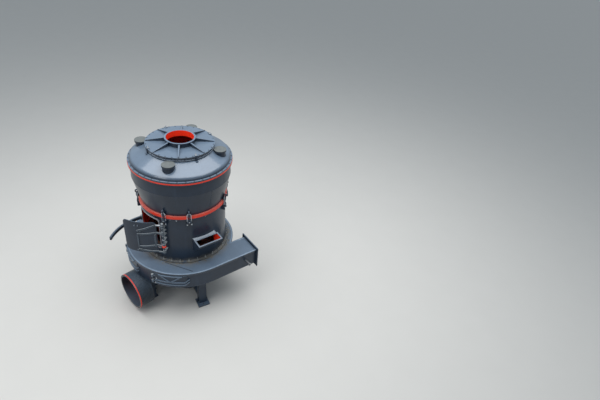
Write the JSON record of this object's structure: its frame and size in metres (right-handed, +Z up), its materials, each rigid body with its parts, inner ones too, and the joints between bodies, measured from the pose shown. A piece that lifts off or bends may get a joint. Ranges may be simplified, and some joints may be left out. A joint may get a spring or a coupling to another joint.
{
  "type": "vertical grinding mill",
  "caption": "Vertical ring-and-roller grinding mill with a snail-shell air duct, swung-open access door, feed chute, domed cover and belt pulley drive.",
  "frame": {"origin": "point on the mill's vertical axis in the plane of its feet", "axes": "+Z up along the mill axis, -Y the front from which the feed chute and access door are seen, air inlet towards +X"},
  "size_m": [3.769, 3.01, 4.6898],
  "materials": {
    "body_paint": "semi-gloss slate blue-grey enamel",
    "red_paint": "orange-red enamel",
    "bare_steel": "turned steel",
    "edge_steel": "thin grey paint over steel",
    "pulley_iron": "painted cast iron",
    "cast_steel": "rough cast with a rust film",
    "dusty_lid": "paint under a film of dust"
  },
  "bodies": {
    "frame": {"base_frame": "body_paint", "gearbox": "body_paint", "shaft_housing": "body_paint", "housing_stand": "body_paint", "duct_floor": "body_paint", "duct_wall": "body_paint", "duct_top": "body_paint", "inlet_flange": "body_paint", "wall_stub": "bare_steel", "vane_ring": "red_paint", "hatch_lugs": "body_paint", "grinding_ring": "cast_steel", "centre_pillar": "red_paint", "foot_flange": "body_paint", "barrel": "body_paint", "barrel_flange": "red_paint", "door_frame": "body_paint", "hinge_lugs": "body_paint", "feed_chute": "body_paint", "chute_rim_frame": "edge_steel", "shell_flange": "red_paint", "upper_shell": "body_paint", "flange_clamps": "edge_steel", "red_ring": "red_paint", "dome": "body_paint", "port_necks": "body_paint", "port_lids": "dusty_lid", "dome_neck": "body_paint", "cover": "body_paint", "cover_ribs": "body_paint", "outlet_collar": "red_paint"},
    "input": {"input_shaft": "bare_steel", "drive_pulley": "pulley_iron", "pulley_web": "red_paint"},
    "rotor": {"rotor_head": "red_paint", "roller_hangers": "red_paint"},
    "roller_a": {"roller_1": "cast_steel"},
    "roller_b": {"roller_2": "cast_steel"},
    "roller_c": {"roller_3": "cast_steel"},
    "roller_d": {"roller_4": "cast_steel"},
    "door": {"access_door": "body_paint", "door_straps": "body_paint"},
    "bar": {"door_bar": "body_paint"},
    "hatch_front": {"hatch_1": "body_paint"},
    "hatch_side": {"hatch_2": "body_paint"}
  },
  "joints": [
    {"name": "input_spin", "type": "hinge", "parent": "frame", "child": "input", "pos_m": [-1.18075, -0.75222, 0.6], "axis": [-0.8434, -0.5373, 0], "continuous": true},
    {"name": "rotor_spin", "type": "hinge", "parent": "frame", "child": "rotor", "pos_m": [0, 0, 2.4], "axis": [0, 0, 1], "continuous": true},
    {"name": "roller_a_spin", "type": "hinge", "parent": "rotor", "child": "roller_a", "pos_m": [-0.43648, -0.46807, 1.8], "axis": [0, 0, 1], "continuous": true},
    {"name": "roller_b_spin", "type": "hinge", "parent": "rotor", "child": "roller_b", "pos_m": [0.46807, -0.43648, 1.8], "axis": [0, 0, 1], "continuous": true},
    {"name": "roller_c_spin", "type": "hinge", "parent": "rotor", "child": "roller_c", "pos_m": [0.43648, 0.46807, 1.8], "axis": [0, 0, 1], "continuous": true},
    {"name": "roller_d_spin", "type": "hinge", "parent": "rotor", "child": "roller_d", "pos_m": [-0.46807, 0.43648, 1.8], "axis": [0, 0, 1], "continuous": true},
    {"name": "door_hinge", "type": "hinge", "parent": "frame", "child": "door", "pos_m": [-0.55396, -1.06448, 2.4], "axis": [0, 0, 1], "range_deg": [-36.7, 113]},
    {"name": "bar_hinge", "type": "hinge", "parent": "frame", "child": "bar", "pos_m": [-1.14278, 0.34938, 2.065], "axis": [0, 0, -1], "range_deg": [-20, 50]},
    {"name": "front_hatch_hinge", "type": "hinge", "parent": "frame", "child": "hatch_front", "pos_m": [-0.90133, -1.31228, 1.4], "axis": [0, 0, -1], "range_deg": [0, 100]},
    {"name": "side_hatch_hinge", "type": "hinge", "parent": "frame", "child": "hatch_side", "pos_m": [-1.58979, -0.08379, 1.4], "axis": [0, 0, -1], "range_deg": [0, 100]}
  ],
  "couplings": [
    {"joint": "input_spin", "follows": "rotor_spin", "ratio": 3.2}
  ]
}
